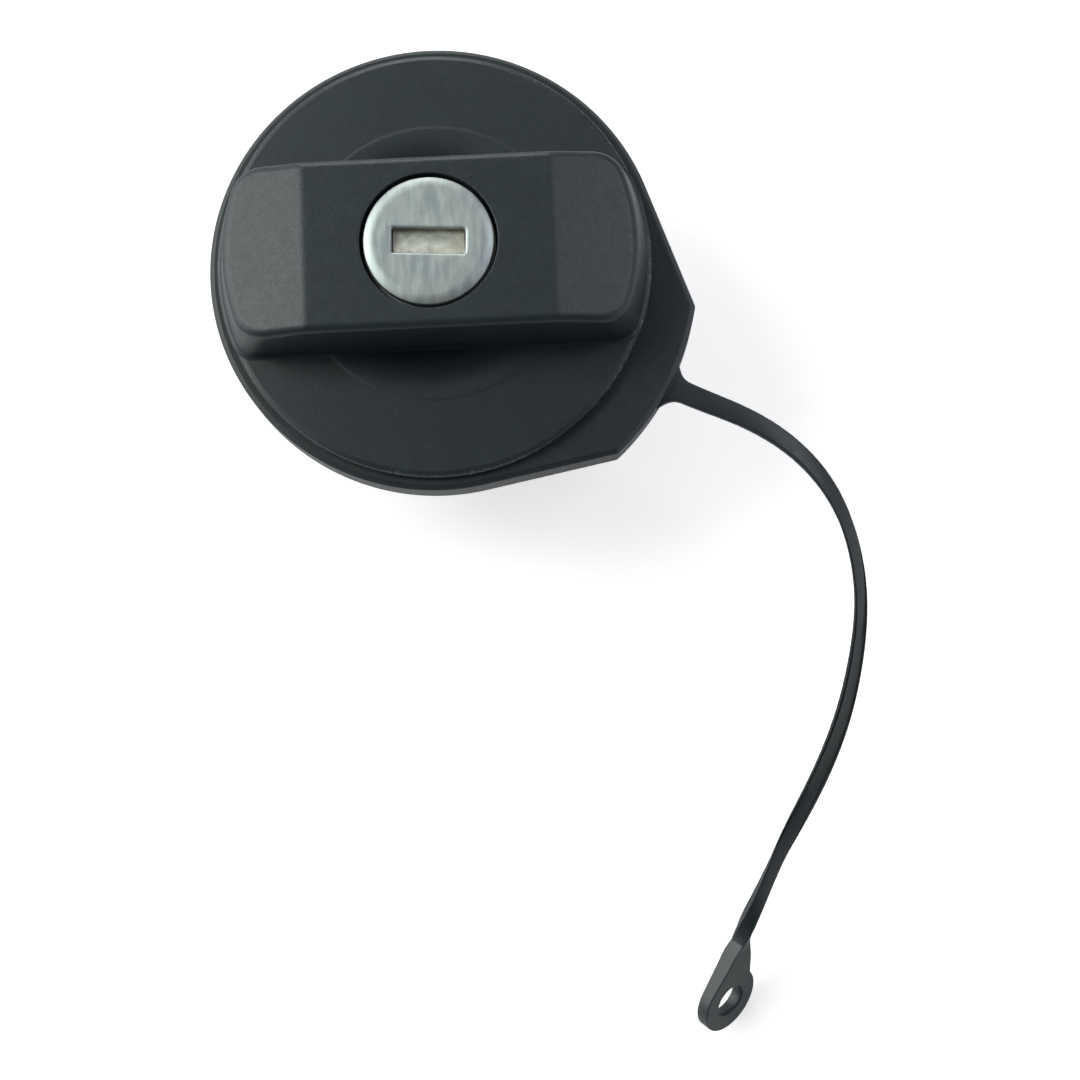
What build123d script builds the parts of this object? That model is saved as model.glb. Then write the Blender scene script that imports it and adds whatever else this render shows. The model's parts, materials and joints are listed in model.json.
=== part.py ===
"""Locking fuel filler cap with a moulded tether.

The cap stands on the foot of its stem.  +Z runs up the stem, +X lies along the grip bar
and the tether's strap leaves towards +X and -Y.  All sizes are in millimetres.
"""
from build123d import *
import os
from math import acos, atan, cos, degrees, hypot, radians, sin, tan

os.makedirs("parts", exist_ok=True)

# ---------------------------------------------------------------- driving dimensions
# Head
DISC_R = 39.1             # radius of the head's disc
Z_DISC = 42.0             # height of the disc's edge
DISC_T = 1.75             # thickness of the disc at its edge
DISC_EDGE = 0.9           # two-step bevel round the disc's edge
STEP_R = 25.4             # fine step round the middle of the disc
STEP_H = 0.35
GRIP_H = 14.0             # grip bar above the disc's edge
GRIP_HALF_W = 15.25       # half width of the grip bar near its top
GRIP_FOOT_HALF_W = 16.0   # half width where it meets the disc
GRIP_END_R = 35.7         # end arcs of the bar near its top
GRIP_FOOT_END_R = 38.5    # end arcs where they meet the disc
GRIP_CORNER_R = 6.2       # upright corners of the bar near its top
GRIP_FOOT_CORNER_R = 4.2  # the same corners where they meet the disc
GRIP_FLAT_X = 21.7        # half length of the bar's level middle
GRIP_FALL = 3.0           # drop of the end facets from the middle to the ends
GRIP_TOP_ROUND = 1.5      # rounding of the bar's top rim
GRIP_BREAK_R = 8.0        # rounding where the end facets start
WALL = 2.2                # wall of the moulded head
HEAD_SCREW_X = 12.5       # four screws hold the cover on its carrier
HEAD_SCREW_Y = 8.5
HEAD_SCREW_R = 1.25
SCREW_HEAD_R = 2.4
SCREW_HEAD_H = 1.5
BOSS_R = 2.7
CARRIER_FOOT = 33.4
SCREW_SEAT = 35.0
CARRIER_TOP = Z_DISC - DISC_T - 0.05

# Lock
FACE_R = 11.45            # steel face
FACE_GAP = 0.42           # ring gap round the face
FACE_TOP = Z_DISC + GRIP_H + 0.25
FACE_T = 0.5              # sheet of the steel cap
FACE_ROUND = 1.1          # rolled edge
FACE_FOOT = 54.2          # lower edge of the cap's skirt
SLOT_L = 12.8             # key slot in the face
SLOT_W = 4.3
SLOT_LEAN = -3.8          # the cap was pressed on slightly turned
ROTOR_R = 8.6
ROTOR_HEAD_R = 10.85
ROTOR_HEAD_TOP = FACE_TOP - FACE_T - 0.02
ROTOR_HEAD_FOOT = 52.15
TAIL_R = 3.2              # rotor's tail, with two flats that drive the scroll cam
TAIL_FLAT = 2.5
HOUSING_R = 11.55
HOUSING_TOP = 53.5
HOUSING_BASE = Z_DISC - DISC_T
HOUSING_FLANGE_R = 18.2
HOUSING_FLANGE_W = 25.6
HOUSING_FLANGE_T = 1.75
HOUSING_SCREW_X = 15.5
RUN_FIT = 0.06            # radial clearance of running fits
SHUTTER_Y = 3.3           # hinge line of the dust shutter
SHUTTER_Z = 53.6
FLAP_HALF_L = 6.2
FLAP_FRONT_Y = -2.95
BARREL_R = 1.0
PIN_R = 0.5
PIN_L = 15.0
POCKET_HALF_L = 6.35      # room for the shutter under the face
WAFER_COUNT = 5
WAFER_PITCH = 1.1
WAFER_T = 0.8
WAFER_Z0 = 42.1
WAFER_HALF_W = 3.0
WAFER_HALF_L = 9.0
KEYWAY_HALF_L = 4.8
KEYWAY_Y = (-2.1, 0.7)
KEYWAY_Z = (41.6, 48.0)
BOLT_TRAVEL = 1.6         # bolts move out this far over a quarter turn of the key
SCROLL_R0 = 6.2           # spiral slot's radius at rest
PEG_R = 1.2
CAM_R = 11.0
CAM_LOW = 38.6
CAM_HIGH = 40.15
BOLT_HALF_W = 3.0
BOLT_LOW = 36.4
BOLT_HIGH = 38.4

# Tether
PLATE_R = 41.1            # at its top edge
PLATE_TOP = Z_DISC - 2.2
PLATE_WEB = 1.8
HUB_H = 3.2               # hub that sits round the stem's collar
HUB_T = 2.2
SKIRT_H = 7.2             # the plate's outer wall hangs below the web
SKIRT_T = 1.7
SKIRT_DRAFT = 0.1         # the wall leans out by this much at its foot
PLATE_BEVEL = 0.8
RIB_SPREAD = 14.0         # angle between the ribs under the tab
RIB_T = 1.4
TAB_R = 47.75             # the tab's outer arc at its top edge
TAB_ANGLE = -30.2         # direction of the tab from the grip bar
TAB_HALF_ANGLE = 18.6
TAB_CORNER_R = 1.2
EYE_R = 6.6
EYE_HOLE_R = 3.1
EYE_T = 2.5
EYE_NECK = 13.6           # teardrop's neck, from the eyelet's centre
EYE_NECK_HALF_W = 0.9
STRAP_T = 1.7

# Stem
TUBE_R = 19.5
TUBE_IN_R = 16.6
PILOT_R = 19.0
PILOT_TOP = 10.0
SEAL_TOP = 33.2
SEAL_H = 3.6
SEAL_R = 31.5
FLANGE_R = 33.5
FLANGE_TOP = 36.4
COLLAR_R = 24.5
COLLAR_TOP = 40.0
CORE_R = 19.2             # the head's carrier turns in the collar
DECK_BOTTOM = 29.5
DECK_TOP = 32.0
NOTCH_COUNT = 12
LUG_R = 23.2
RECESS_R = 20.6           # waist above the tube that the seal sits round
SNAP_LOW = 34.1           # snap ring, half in the carrier and half in the collar
SNAP_HIGH = 35.0
SNAP_R = 20.2
SNAP_IN_R = 18.0
NOTCH_HALF_W = 3.25
NOTCH_R = 21.2

# Valves
CAGE_R = 16.5
CAGE_IN_R = 14.3
CAGE_TOP = 24.6
CAGE_FLOOR = 2.2
VENT_COUNT = 6
SEAT_IN_R = 7.2
SEAT_R = 8.0
SEAT_LOW = 7.0
SEAT_HIGH = 9.0
SEAT_TOP = 9.6
O_RING_LOW = 17.8
O_RING_HIGH = 19.8
PLATE_LOW = 10.65         # pressure plate
PLATE_HIGH = 12.4
PLATE_GUIDE_TOP = 16.0
POPPET_STEM_R = 1.44
CAP_LOW = 22.1            # ring that the pressure spring pushes against
SPRING_SEAT = PLATE_HIGH + 0.05

# The strap's line from the tab's edge to the eyelet's centre
STRAP_ROUTE = [
    (41.2, -23.5, 37.0),
    (46.8, -26.3, 37.0),
    (53.9, -29.6, 36.8),
    (61.1, -34.1, 36.3),
    (67.0, -39.9, 35.5),
    (71.0, -46.4, 34.4),
    (73.5, -54.2, 33.0),
    (74.4, -63.0, 31.3),
    (73.3, -73.4, 29.0),
    (70.2, -85.2, 25.9),
    (64.7, -97.5, 22.2),
    (59.4, -107.1, 18.9),
    (54.2, -117.4, 15.6),
    (50.7, -125.0, 12.6),
    (47.9, -136.0, 6.6),
]
STRAP_START = (0.89, -0.46, 0.0)       # direction at the tab
STRAP_END = (-0.21, -0.85, -0.48)      # direction at the eyelet
# Width of the strap, and its turn about its own line in degrees, at shares of its length
STRAP_WIDTHS = [
    (0.0, 4.1),
    (0.2, 3.3),
    (0.3, 3.2),
    (0.42, 3.4),
    (0.7, 3.5),
    (0.88, 3.2),
    (0.91, 2.45),
    (1.0, 2.45),
]
STRAP_TURNS = [
    (0.0, 0),
    (0.2, 0),
    (0.3, 19),
    (0.42, 48),
    (0.5, 46),
    (0.7, 30),
    (0.87, 13),
    (0.93, -38),
    (1.0, -40.5),
]
# Shares where the strap's sections stand, in the spans that are lofted one after another
STRAP_SPANS = [
    (0.0, 0.06, 0.12, 0.2, 0.3),
    (0.3, 0.36, 0.42, 0.5),
    (0.5, 0.6, 0.7, 0.8),
    (0.8, 0.87),
    (0.87, 0.89, 0.91, 0.93),
]


# ---------------------------------------------------------------- small helpers
def tube(outer, inner, z_low, z_high):
    """Ring of revolution between two heights."""
    ring = extrude(Circle(outer) - Circle(inner), z_high - z_low)
    return Pos(0, 0, z_low) * ring


def rod(radius, z_low, z_high, x=0.0, y=0.0):
    """Upright cylinder."""
    return Pos(x, y, z_low) * extrude(Circle(radius), z_high - z_low)


def block(x_low, x_high, y_low, y_high, z_low, z_high):
    """Box between two corners."""
    solid = Box(x_high - x_low, y_high - y_low, z_high - z_low)
    return Pos((x_low + x_high) / 2, (y_low + y_high) / 2, (z_low + z_high) / 2) * solid


def turned(points):
    """Solid turned about Z from a closed outline of radius and height."""
    outline = make_face(Polyline([(r, 0, z) for r, z in points], close=True))
    return revolve(outline, Axis.Z)


def sector(outer, inner, half_angle, z_low, z_high, direction=0.0):
    """Part of a ring, to both sides of a direction in degrees."""
    reach = 2 * outer
    spread = reach * tan(radians(half_angle))
    wedge = make_face(Polyline([(0, 0), (reach, -spread), (reach, spread)], close=True))
    piece = (Circle(outer) - Circle(inner)) & wedge
    return Rot(0, 0, direction) * Pos(0, 0, z_low) * extrude(piece, z_high - z_low)


def coil(mean_r, wire, z_low, z_high, turns):
    """Compression spring of square wire."""
    height = z_high - z_low - wire
    line = Helix(height / turns, height, mean_r)
    start = Plane(line @ 0, x_dir=(1, 0, 0), z_dir=line % 0)
    return Pos(0, 0, z_low + wire / 2) * sweep(start * Rectangle(wire, wire), path=line, is_frenet=True)


def export(name, shape):
    """Write one node."""
    shape.label = name
    export_step(shape, f"parts/{name}.step")


# ---------------------------------------------------------------- head
def grip_section(half_w, end_r, corner_r):
    """Plan of the bar: straight sides, end arcs about the axis, rounded corners."""
    plan = Rectangle(4 * end_r, 2 * half_w) & Circle(end_r)
    return fillet(plan.vertices(), corner_r)


def grip_body(inset, z_low):
    """Tapered bar, drawn in by a wall's thickness, from a height upwards."""
    slope_w = (GRIP_FOOT_HALF_W - GRIP_HALF_W) / GRIP_H
    slope_r = (GRIP_FOOT_END_R - GRIP_END_R) / GRIP_H
    slope_corner = (GRIP_CORNER_R - GRIP_FOOT_CORNER_R) / GRIP_H
    z_high = Z_DISC + GRIP_H + 2.0
    sections = []
    for z in (z_low, z_high):
        rise = z - Z_DISC
        plan = grip_section(
            GRIP_FOOT_HALF_W - slope_w * rise - inset,
            GRIP_FOOT_END_R - slope_r * rise - inset,
            GRIP_FOOT_CORNER_R + slope_corner * rise - inset,
        )
        sections.append(Pos(0, 0, z) * plan)
    body = loft(sections, ruled=True)
    top = Z_DISC + GRIP_H - inset
    fall = GRIP_FALL / (GRIP_END_R - GRIP_FLAT_X)
    reach = 2 * DISC_R
    low = top - fall * (reach - GRIP_FLAT_X)
    side = [(-reach, 0), (-reach, low), (-GRIP_FLAT_X, top), (GRIP_FLAT_X, top), (reach, low), (reach, 0)]
    profile = make_face(Polyline([(x, 0, z) for x, z in side], close=True))
    profile = fillet(profile.vertices().filter_by(lambda v: v.Z > top - 0.01), GRIP_BREAK_R)
    return body & extrude(profile, 2 * GRIP_FOOT_HALF_W, both=True)


def handle_cover():
    """Disc and grip bar in one moulding, hollow under the bar."""
    step_z = Z_DISC + 0.15
    under = Z_DISC - DISC_T
    disc = turned([
        (0, under),
        (DISC_R, under),
        (DISC_R, Z_DISC - DISC_EDGE),
        (DISC_R - 0.3 * DISC_EDGE, Z_DISC - 0.3 * DISC_EDGE),
        (DISC_R - DISC_EDGE, Z_DISC),
        (STEP_R, step_z),
        (STEP_R - 0.15, step_z + STEP_H),
        (0, step_z + STEP_H),
    ])
    bar = grip_body(0.0, Z_DISC - 0.8)
    top_rim = bar.edges().filter_by(lambda e: e.center().Z > Z_DISC + GRIP_H - GRIP_FALL - 1.5)
    near_rim = 0.93
    top_rim = top_rim.filter_by(
        lambda e: hypot(e.center().X / GRIP_END_R, e.center().Y / GRIP_HALF_W) > near_rim
    )
    bar = fillet(top_rim, GRIP_TOP_ROUND)
    shell = disc + bar - grip_body(WALL, under - 1.0)
    return shell + cover_inside()


def head_screw_places():
    """Places of the four screws that hold the cover."""
    return [(x, y) for x in (-HEAD_SCREW_X, HEAD_SCREW_X) for y in (-HEAD_SCREW_Y, HEAD_SCREW_Y)]


def cover_inside():
    """Lock sleeve, cross ribs and screw bosses under the bar's top."""
    room = grip_body(WALL - 0.4, HOUSING_BASE)
    sleeve_foot = HOUSING_BASE + HOUSING_FLANGE_T + 2.2
    inside = tube(HOUSING_R + 1.9, HOUSING_R + 0.05, sleeve_foot, Z_DISC + GRIP_H)
    for x in (-30.0, -23.5, 23.5, 30.0):
        inside += block(x - 0.8, x + 0.8, -GRIP_HALF_W, GRIP_HALF_W, sleeve_foot + 0.3, Z_DISC + GRIP_H)
    for x, y in head_screw_places():
        inside += rod(BOSS_R, HOUSING_BASE, HOUSING_TOP - 0.5, x, y)
    inside = inside & room
    for x, y in head_screw_places():
        inside -= rod(HEAD_SCREW_R + 0.05, HOUSING_BASE - 1, 48.0, x, y)
    return inside


def lock_bore():
    """Stepped hole through the cover for the lock."""
    lower = rod(HOUSING_R + 0.05, HOUSING_BASE - 1, HOUSING_TOP + 0.2)
    upper = rod(FACE_R + FACE_GAP, HOUSING_TOP + 0.2, FACE_TOP + 2)
    return lower + upper


def head_carrier():
    """Core of the head: turns in the collar, guides the bolts, holds the lock."""
    groove_r = SNAP_IN_R - 0.1
    foot_r = TUBE_IN_R - 0.2
    core = turned([
        (0, CARRIER_FOOT),
        (foot_r, CARRIER_FOOT),
        (foot_r, DECK_TOP + 0.5),
        (CORE_R - 0.5, DECK_TOP + 0.5),
        (CORE_R, DECK_TOP + 1.0),
        (CORE_R, SNAP_LOW - 0.1),
        (groove_r, SNAP_LOW - 0.1),
        (groove_r, SNAP_HIGH + 0.1),
        (CORE_R, SNAP_HIGH + 0.1),
        (CORE_R, CARRIER_TOP),
        (0, CARRIER_TOP),
    ])
    core -= rod(CAM_R + 0.4, CAM_LOW - 0.1, CARRIER_TOP + 1)
    core -= rod(5.0, BOLT_LOW - 0.1, CAM_LOW + 0.4)
    channel = BOLT_HALF_W + 0.1
    core -= block(-channel, channel, -CORE_R - 1, CORE_R + 1, BOLT_LOW - 0.1, BOLT_HIGH + 0.1)
    for x, y in head_screw_places():
        core -= rod(SCREW_HEAD_R + 0.5, CARRIER_FOOT - 3, SCREW_SEAT, x, y)
        core -= rod(HEAD_SCREW_R + 0.05, SCREW_SEAT - 1, CARRIER_TOP + 1, x, y)
    for x in (-HOUSING_SCREW_X, HOUSING_SCREW_X):
        core -= rod(HEAD_SCREW_R, 36.0, CARRIER_TOP + 1, x, 0)
    return core


def screw(x, y, z_head, z_tip, up, radius):
    """Pan head screw with a cross recess; its head is at z_head and its tip at z_tip."""
    sign = 1 if up else -1
    z_shank = z_head + sign * SCREW_HEAD_H
    low, high = sorted((z_head, z_shank))
    body = rod(SCREW_HEAD_R, low, high, x, y)
    low, high = sorted((z_shank, z_tip))
    body += rod(radius, low, high, x, y)
    low, high = sorted((z_head - sign * 0.2, z_head + sign * 0.8))
    arm, half = 1.3, 0.25
    body -= block(x - arm, x + arm, y - half, y + half, low, high)
    body -= block(x - half, x + half, y - arm, y + arm, low, high)
    return body


def handle_screws():
    """Four screws up through the carrier into the cover."""
    z_head = SCREW_SEAT - SCREW_HEAD_H
    tip = 47.0
    places = head_screw_places()
    return Compound(children=[screw(x, y, z_head, tip, True, HEAD_SCREW_R) for x, y in places])


def housing_screws():
    """Two screws down through the lock housing's flange into the carrier."""
    z_head = HOUSING_BASE + HOUSING_FLANGE_T + SCREW_HEAD_H
    places = (-HOUSING_SCREW_X, HOUSING_SCREW_X)
    return Compound(children=[screw(x, 0, z_head, 36.6, False, HEAD_SCREW_R - 0.05) for x in places])


def snap_ring():
    """Open spring ring, half in the carrier's groove and half in the collar's."""
    ring = tube(SNAP_R, SNAP_IN_R, SNAP_LOW, SNAP_HIGH)
    return ring - block(10, 25, -3.5, 3.5, SNAP_LOW - 1, SNAP_HIGH + 1)


# ---------------------------------------------------------------- lock
def lock_housing():
    """Die-cast sleeve with a flange and two grooves for the wafers."""
    plan = Rectangle(2.2 * HOUSING_FLANGE_R, HOUSING_FLANGE_W) & Circle(HOUSING_FLANGE_R)
    body = Pos(0, 0, HOUSING_BASE) * extrude(plan, HOUSING_FLANGE_T)
    body += rod(HOUSING_R, HOUSING_BASE, HOUSING_TOP)
    seat = ROTOR_HEAD_FOOT - 0.1
    body -= rod(ROTOR_R + RUN_FIT, HOUSING_BASE - 1, seat)
    body -= rod(ROTOR_HEAD_R + 0.1, seat, HOUSING_TOP + 1)
    groove_r = ROTOR_R + 1.6
    body -= block(-groove_r, groove_r, -1.6, 1.6, WAFER_Z0 - 0.9, KEYWAY_Z[1])
    deck = HOUSING_BASE + HOUSING_FLANGE_T + 1
    for x in (-HOUSING_SCREW_X, HOUSING_SCREW_X):
        body -= rod(HEAD_SCREW_R, HOUSING_BASE - 1, deck, x, 0)
    for x, y in head_screw_places():
        body -= rod(BOSS_R + 0.25, HOUSING_BASE - 1, deck, x, y)
    return body


def tail_section(grow, z_low, z_high):
    """Round tail with two flats, grown by a clearance."""
    radius = TAIL_R + grow
    flat = TAIL_FLAT + grow
    return rod(radius, z_low, z_high) & block(-flat, flat, -radius, radius, z_low, z_high)


def lock_rotor():
    """Plug with keyway, wafer slots, shutter pocket and tail."""
    body = rod(ROTOR_R, HOUSING_BASE + 0.05, ROTOR_HEAD_FOOT + 0.05)
    body += rod(ROTOR_HEAD_R, ROTOR_HEAD_FOOT, ROTOR_HEAD_TOP)
    body += tail_section(0, CAM_LOW - 0.1, HOUSING_BASE + 0.1)
    body -= block(-POCKET_HALF_L, POCKET_HALF_L, -3.3, 4.4, KEYWAY_Z[1] - 0.6, ROTOR_HEAD_TOP + 1)
    body -= block(-KEYWAY_HALF_L, KEYWAY_HALF_L, *KEYWAY_Y, *KEYWAY_Z)
    body -= rod(0.9, CAM_LOW - 1, HOUSING_BASE + 0.35)
    slot_y = WAFER_HALF_W + 0.03
    for i in range(WAFER_COUNT):
        z = WAFER_Z0 + i * WAFER_PITCH
        body -= block(-WAFER_HALF_L, WAFER_HALF_L, -slot_y, slot_y, z - 0.43, z + 0.43)
    body -= block(-1.5, 2.2, WAFER_HALF_W, 4.8, WAFER_Z0 - 0.5, KEYWAY_Z[1] - 0.8)
    return body - hinge_rod(PIN_R + 0.05, PIN_L + 0.2)


def hinge_rod(radius, length):
    """Cylinder along the shutter's hinge line."""
    return Pos(0, SHUTTER_Y, SHUTTER_Z) * Rot(0, 90, 0) * Cylinder(radius, length)


def wafer(index):
    """Flat wafer with its own window and a lug for its spring."""
    z = WAFER_Z0 + index * WAFER_PITCH
    low = z - WAFER_T / 2
    high = z + WAFER_T / 2
    shift = (0.35, -0.2, 0.1, -0.35, 0.25)[index]
    window = KEYWAY_HALF_L + 0.4
    plate = block(-WAFER_HALF_L, WAFER_HALF_L, -WAFER_HALF_W, WAFER_HALF_W, low, high)
    plate = plate & rod(ROTOR_R - 0.08, low, high)
    plate -= block(shift - window, shift + window, -2.2, 1.6, low, high)
    return plate + block(0.95, 1.95, WAFER_HALF_W - 0.5, WAFER_HALF_W + 1.2, low, high)


def wafer_spring():
    """Comb of leaf fingers on one strip, a finger for each wafer."""
    z_high = WAFER_Z0 + (WAFER_COUNT - 1) * WAFER_PITCH
    comb = block(-1.3, -1.05, 3.3, 4.5, WAFER_Z0 - 0.4, z_high + 0.4)
    for i in range(WAFER_COUNT):
        z = WAFER_Z0 + i * WAFER_PITCH
        comb += block(-1.2, 0.94, 3.5, 3.75, z - 0.3, z + 0.3)
    return comb


def lock_face():
    """Pressed steel cap: rolled rim, flat face, key slot and skirt."""
    cap = rod(FACE_R, FACE_FOOT, FACE_TOP)
    rim = cap.edges().filter_by(GeomType.CIRCLE).sort_by(Axis.Z)[-1]
    cap = fillet(rim, FACE_ROUND) - rod(FACE_R - FACE_T, FACE_FOOT - 1, FACE_TOP - FACE_T)
    slot = Pos(0, 0, FACE_FOOT - 1) * extrude(Rectangle(SLOT_L, SLOT_W), FACE_TOP - FACE_FOOT + 2)
    return cap - Rot(0, 0, SLOT_LEAN) * slot


def dust_shutter():
    """Flap on a barrel that closes the key slot from behind."""
    outline = [(SHUTTER_Y, 54.3), (FLAP_FRONT_Y, 55.25), (FLAP_FRONT_Y, 54.55), (SHUTTER_Y, 53.4)]
    flap = make_face(Polyline([(0, y, z) for y, z in outline], close=True))
    body = extrude(flap, FLAP_HALF_L, both=True, dir=(1, 0, 0)) + hinge_rod(BARREL_R, 2 * FLAP_HALF_L)
    return body - hinge_rod(PIN_R + 0.05, PIN_L) - hinge_rod(BARREL_R + 0.05, 4.4)


def shutter_pin():
    """Hinge pin along the key slot."""
    return hinge_rod(PIN_R, PIN_L)


def shutter_spring():
    """Small torsion spring round the hinge pin."""
    line = Helix(1.0, 3.0, (PIN_R + BARREL_R) / 2 + 0.03)
    start = Plane(line @ 0, x_dir=(1, 0, 0), z_dir=line % 0)
    wire = sweep(start * Rectangle(0.24, 0.24), path=line, is_frenet=True)
    return Pos(-1.5, SHUTTER_Y, SHUTTER_Z) * Rot(0, 90, 0) * wire


def scroll_slot():
    """Spiral slot for one peg over a quarter turn, with round ends."""
    half = PEG_R + 0.08
    outer = []
    inner = []
    for turn in range(0, 91, 15):
        radius = SCROLL_R0 + BOLT_TRAVEL * turn / 90
        direction = radians(90 - turn)
        outer.append(((radius + half) * cos(direction), (radius + half) * sin(direction)))
        inner.append(((radius - half) * cos(direction), (radius - half) * sin(direction)))
    spread = half / SCROLL_R0
    head = (-SCROLL_R0 * sin(spread), SCROLL_R0 * cos(spread))
    end_r = SCROLL_R0 + BOLT_TRAVEL
    end_spread = half / end_r
    tail = (end_r * cos(end_spread), -end_r * sin(end_spread))
    return make_face([
        Spline(outer),
        ThreePointArc(outer[-1], tail, inner[-1]),
        Spline(inner),
        ThreePointArc(inner[0], head, outer[0]),
    ])


def scroll_cam():
    """Disc with two spiral slots that carry the bolts' pegs in and out."""
    disc = rod(CAM_R, CAM_LOW, CAM_HIGH)
    cutter = Pos(0, 0, CAM_LOW - 1) * extrude(scroll_slot(), CAM_HIGH - CAM_LOW + 2)
    disc -= cutter
    disc -= Rot(0, 0, 180) * cutter
    return disc - tail_section(0, CAM_LOW - 1, CAM_HIGH + 1)


def cam_screw():
    """Screw with a washer head that holds the scroll cam on the rotor's tail."""
    washer = CAM_LOW - 0.1
    body = rod(3.6, washer - 0.9, washer)
    body += rod(2.0, washer - 1.6, washer - 0.8)
    body += rod(0.88, washer - 0.1, washer + 2)
    return body - block(-1.5, 1.5, -0.25, 0.25, washer - 2, washer - 1.2)


def lock_bolt():
    """Bolt towards +Y, with its peg up in the scroll's slot."""
    bar = block(-BOLT_HALF_W, BOLT_HALF_W, 4.6, CORE_R, BOLT_LOW, BOLT_HIGH)
    bar = bar & rod(CORE_R - 0.2, BOLT_LOW, BOLT_HIGH)
    bar = chamfer(bar.edges().filter_by(Axis.Z).filter_by(lambda e: e.center().Y > 15), 0.6)
    return bar + rod(PEG_R, BOLT_HIGH - 0.1, CAM_HIGH - 0.15, 0, SCROLL_R0)


# ---------------------------------------------------------------- tether
def at_share(steps, share):
    """Value at a share of the strap's length, in straight steps between known ones."""
    for (a, value_a), (b, value_b) in zip(steps, steps[1:]):
        if share <= b:
            return value_a + (value_b - value_a) * (share - a) / (b - a)
    return steps[-1][1]


def strap_plane(route, share):
    """Section plane of the strap: X is its width, Y its thickness."""
    along = route % share
    side = Vector(0, 0, 1).cross(along).normalized()
    up = along.cross(side)
    turn = radians(at_share(STRAP_TURNS, share))
    face = up * cos(turn) + side * sin(turn)
    return Plane(route @ share, x_dir=face.cross(along), z_dir=along)


def tab_outline(grow):
    """Plate circle and tab arc, joined by the two lines that touch the circle."""
    plate_r = PLATE_R + grow
    tab_r = TAB_R + grow
    low = TAB_ANGLE - TAB_HALF_ANGLE
    high = TAB_ANGLE + TAB_HALF_ANGLE
    lean = degrees(acos(plate_r / tab_r))
    start = low - lean
    end = high + lean
    arc = CenterArc((0, 0), tab_r, low, 2 * TAB_HALF_ANGLE)
    rest = CenterArc((0, 0), plate_r, end, 360 + start - end)
    outline = make_face([arc, Line(arc @ 1, rest @ 0), rest, Line(rest @ 1, arc @ 0)])
    corners = outline.vertices().filter_by(lambda v: hypot(v.X, v.Y) > tab_r - 0.1)
    return fillet(corners, TAB_CORNER_R + grow)


def tether_ring():
    """Ring plate with a deep skirt, a hub and the ribbed tab."""
    foot = PLATE_TOP - SKIRT_H
    hub_foot = PLATE_TOP - HUB_H
    draft = degrees(atan(SKIRT_DRAFT / SKIRT_H))
    plate = Pos(0, 0, foot) * extrude(tab_outline(SKIRT_DRAFT), SKIRT_H, taper=draft)
    top_rim = plate.edges().filter_by(lambda e: e.center().Z > PLATE_TOP - 0.01)
    plate = chamfer(top_rim, PLATE_BEVEL)
    room = offset(tab_outline(0), -SKIRT_T)
    plate -= Pos(0, 0, foot - 1) * extrude(room, SKIRT_H - PLATE_WEB + 1)
    plate += tube(COLLAR_R + HUB_T, COLLAR_R, hub_foot, PLATE_TOP)
    for angle in (TAB_ANGLE - RIB_SPREAD, TAB_ANGLE, TAB_ANGLE + RIB_SPREAD):
        rib = block(COLLAR_R + 1, TAB_R - 1, -RIB_T / 2, RIB_T / 2, hub_foot + 0.2, PLATE_TOP - 1)
        plate += Rot(0, 0, angle) * rib
    return plate - rod(COLLAR_R + RUN_FIT, foot - 1, PLATE_TOP + 1)


def tether_strap(ring):
    """Strap and eyelet, moulded on to the tab's edge."""
    return (strap_and_eyelet() + strap_root()) - ring


def strap_root():
    """Flared foot of the strap on the tab's edge."""
    x, y, z = STRAP_ROUTE[0]
    half = STRAP_WIDTHS[0][1] / 2
    upper = Spline([(-1.0, half + 2.3), (0.5, half + 1.7), (2.0, half + 0.6), (5.0, half)])
    lower = mirror(upper, Plane.XZ)
    flare = make_face([upper, lower, Line(upper @ 0, lower @ 0), Line(upper @ 1, lower @ 1)])
    heading = degrees(atan(STRAP_START[1] / STRAP_START[0]))
    return Pos(x, y, z - STRAP_T / 2) * Rot(0, 0, heading) * extrude(flare, STRAP_T)


def strap_and_eyelet():
    """Strap of a four-sided section lofted along its route, with a teardrop eyelet.

    The strap turns about its own line, so that its thin side lies against the eyelet's edge.
    """
    route = Spline(STRAP_ROUTE, tangents=[STRAP_START, STRAP_END])
    strap = Part()
    for span in STRAP_SPANS:
        sections = []
        for share in span:
            sections.append(strap_plane(route, share) * Rectangle(at_share(STRAP_WIDTHS, share), STRAP_T))
        strap += loft(sections)
    end = strap_plane(route, 1.0)
    flat = Plane(end.origin, x_dir=end.z_dir, z_dir=end.x_dir)
    lean = degrees(acos((EYE_R - EYE_NECK_HALF_W) / EYE_NECK))
    touch = CenterArc((0, 0), EYE_R, 180 - lean, -(360 - 2 * lean))
    neck_high = (-EYE_NECK, EYE_NECK_HALF_W)
    neck_low = (-EYE_NECK, -EYE_NECK_HALF_W)
    sides = [Line(touch @ 1, neck_low), Line(neck_low, neck_high), Line(neck_high, touch @ 0)]
    drop = make_face([touch, *sides])
    eyelet = extrude(flat * drop, EYE_T / 2, both=True)
    return strap + eyelet - extrude(flat * Circle(EYE_HOLE_R), EYE_T, both=True)


# ---------------------------------------------------------------- stem
def bayonet_lug(direction):
    """Quarter-turn lug with a ramped upper face and an end stop."""
    lug = sector(LUG_R, TUBE_R - 0.5, 28, 12.0, 16.4, direction)
    ramp = Pos(LUG_R, 0, 15.4 + 5) * Rot(5.0, 0, 0) * Box(12, 40, 10)
    lug -= Rot(0, 0, direction) * ramp
    stop = sector(LUG_R - 0.6, TUBE_R - 0.5, 3, 12.0, 20.0, direction + 25)
    return lug + stop


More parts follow.
